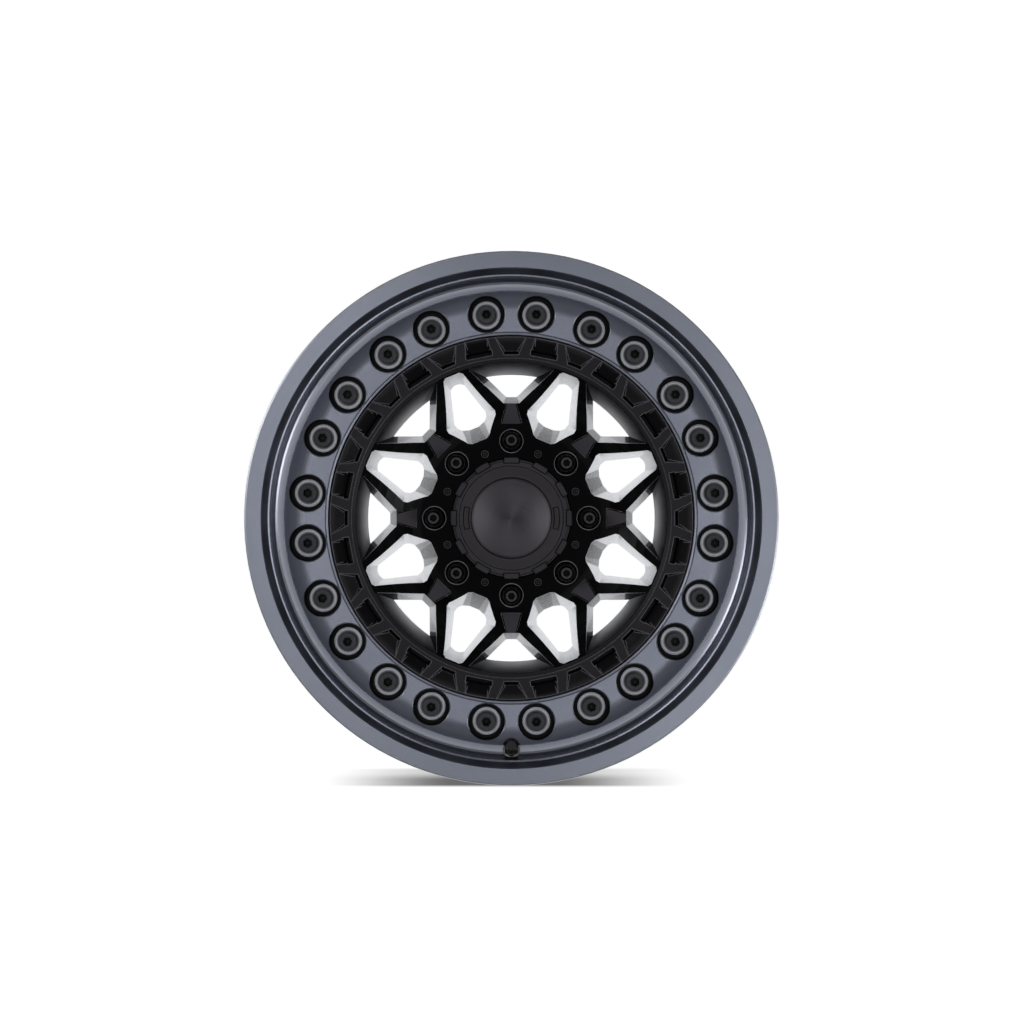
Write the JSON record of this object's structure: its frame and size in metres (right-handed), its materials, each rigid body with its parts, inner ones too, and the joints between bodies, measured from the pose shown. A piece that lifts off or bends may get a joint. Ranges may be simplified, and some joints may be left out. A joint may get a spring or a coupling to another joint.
{
  "type": "car wheel",
  "caption": "Dished light-truck wheel with a bolted ring, split spokes, lug nuts, centre cap and valve, for a hub with studs.",
  "frame": {"origin": "on the wheel's axle, in the plane of the rear flange's outer face, at the bottom of the part's box", "axes": "+Z along the axle towards the wheel's face, -Y from the axle towards the valve, +X to the right as the face is seen with the valve down"},
  "size_m": [0.5429, 0.543, 0.2673],
  "materials": {
    "casting": "gloss black over cast and machined aluminium",
    "ring": "turned, dark tint",
    "bolts": "black oxide",
    "washers": "black oxide",
    "nuts": "gloss black",
    "screws": "black oxide",
    "cap": "satin",
    "cap_disc": "satin",
    "spring": "spring wire",
    "valve_metal": "nickel plated",
    "valve_rubber": "matt",
    "valve_nut": "black",
    "valve_brass": "satin",
    "valve_cap": "satin"
  },
  "bodies": {
    "root": {"wheel_casting": "casting", "lock_ring": "ring", "ring_washers": "washers", "ring_bolt_01": "bolts", "ring_bolt_02": "bolts", "ring_bolt_03": "bolts", "ring_bolt_04": "bolts", "ring_bolt_05": "bolts", "ring_bolt_06": "bolts", "ring_bolt_07": "bolts", "ring_bolt_08": "bolts", "ring_bolt_09": "bolts", "ring_bolt_10": "bolts", "ring_bolt_11": "bolts", "ring_bolt_12": "bolts", "ring_bolt_13": "bolts", "ring_bolt_14": "bolts", "ring_bolt_15": "bolts", "ring_bolt_16": "bolts", "ring_bolt_17": "bolts", "ring_bolt_18": "bolts", "ring_bolt_19": "bolts", "ring_bolt_20": "bolts", "ring_bolt_21": "bolts", "ring_bolt_22": "bolts", "ring_bolt_23": "bolts", "ring_bolt_24": "bolts", "lug_nut_1": "nuts", "lug_nut_2": "nuts", "lug_nut_3": "nuts", "lug_nut_4": "nuts", "lug_nut_5": "nuts", "lug_nut_6": "nuts", "lug_nut_7": "nuts", "lug_nut_8": "nuts", "hub_screw_1": "screws", "hub_screw_2": "screws", "hub_screw_3": "screws", "hub_screw_4": "screws", "hub_screw_5": "screws", "hub_screw_6": "screws", "hub_screw_7": "screws", "hub_screw_8": "screws", "cap_body": "cap", "cap_disc": "cap_disc", "cap_spring_ring": "spring", "valve_stem": "valve_metal", "valve_seal": "valve_rubber", "valve_washer": "valve_metal", "valve_nut": "valve_nut", "valve_core": "valve_brass", "valve_cap": "valve_cap"}
  },
  "joints": []
}
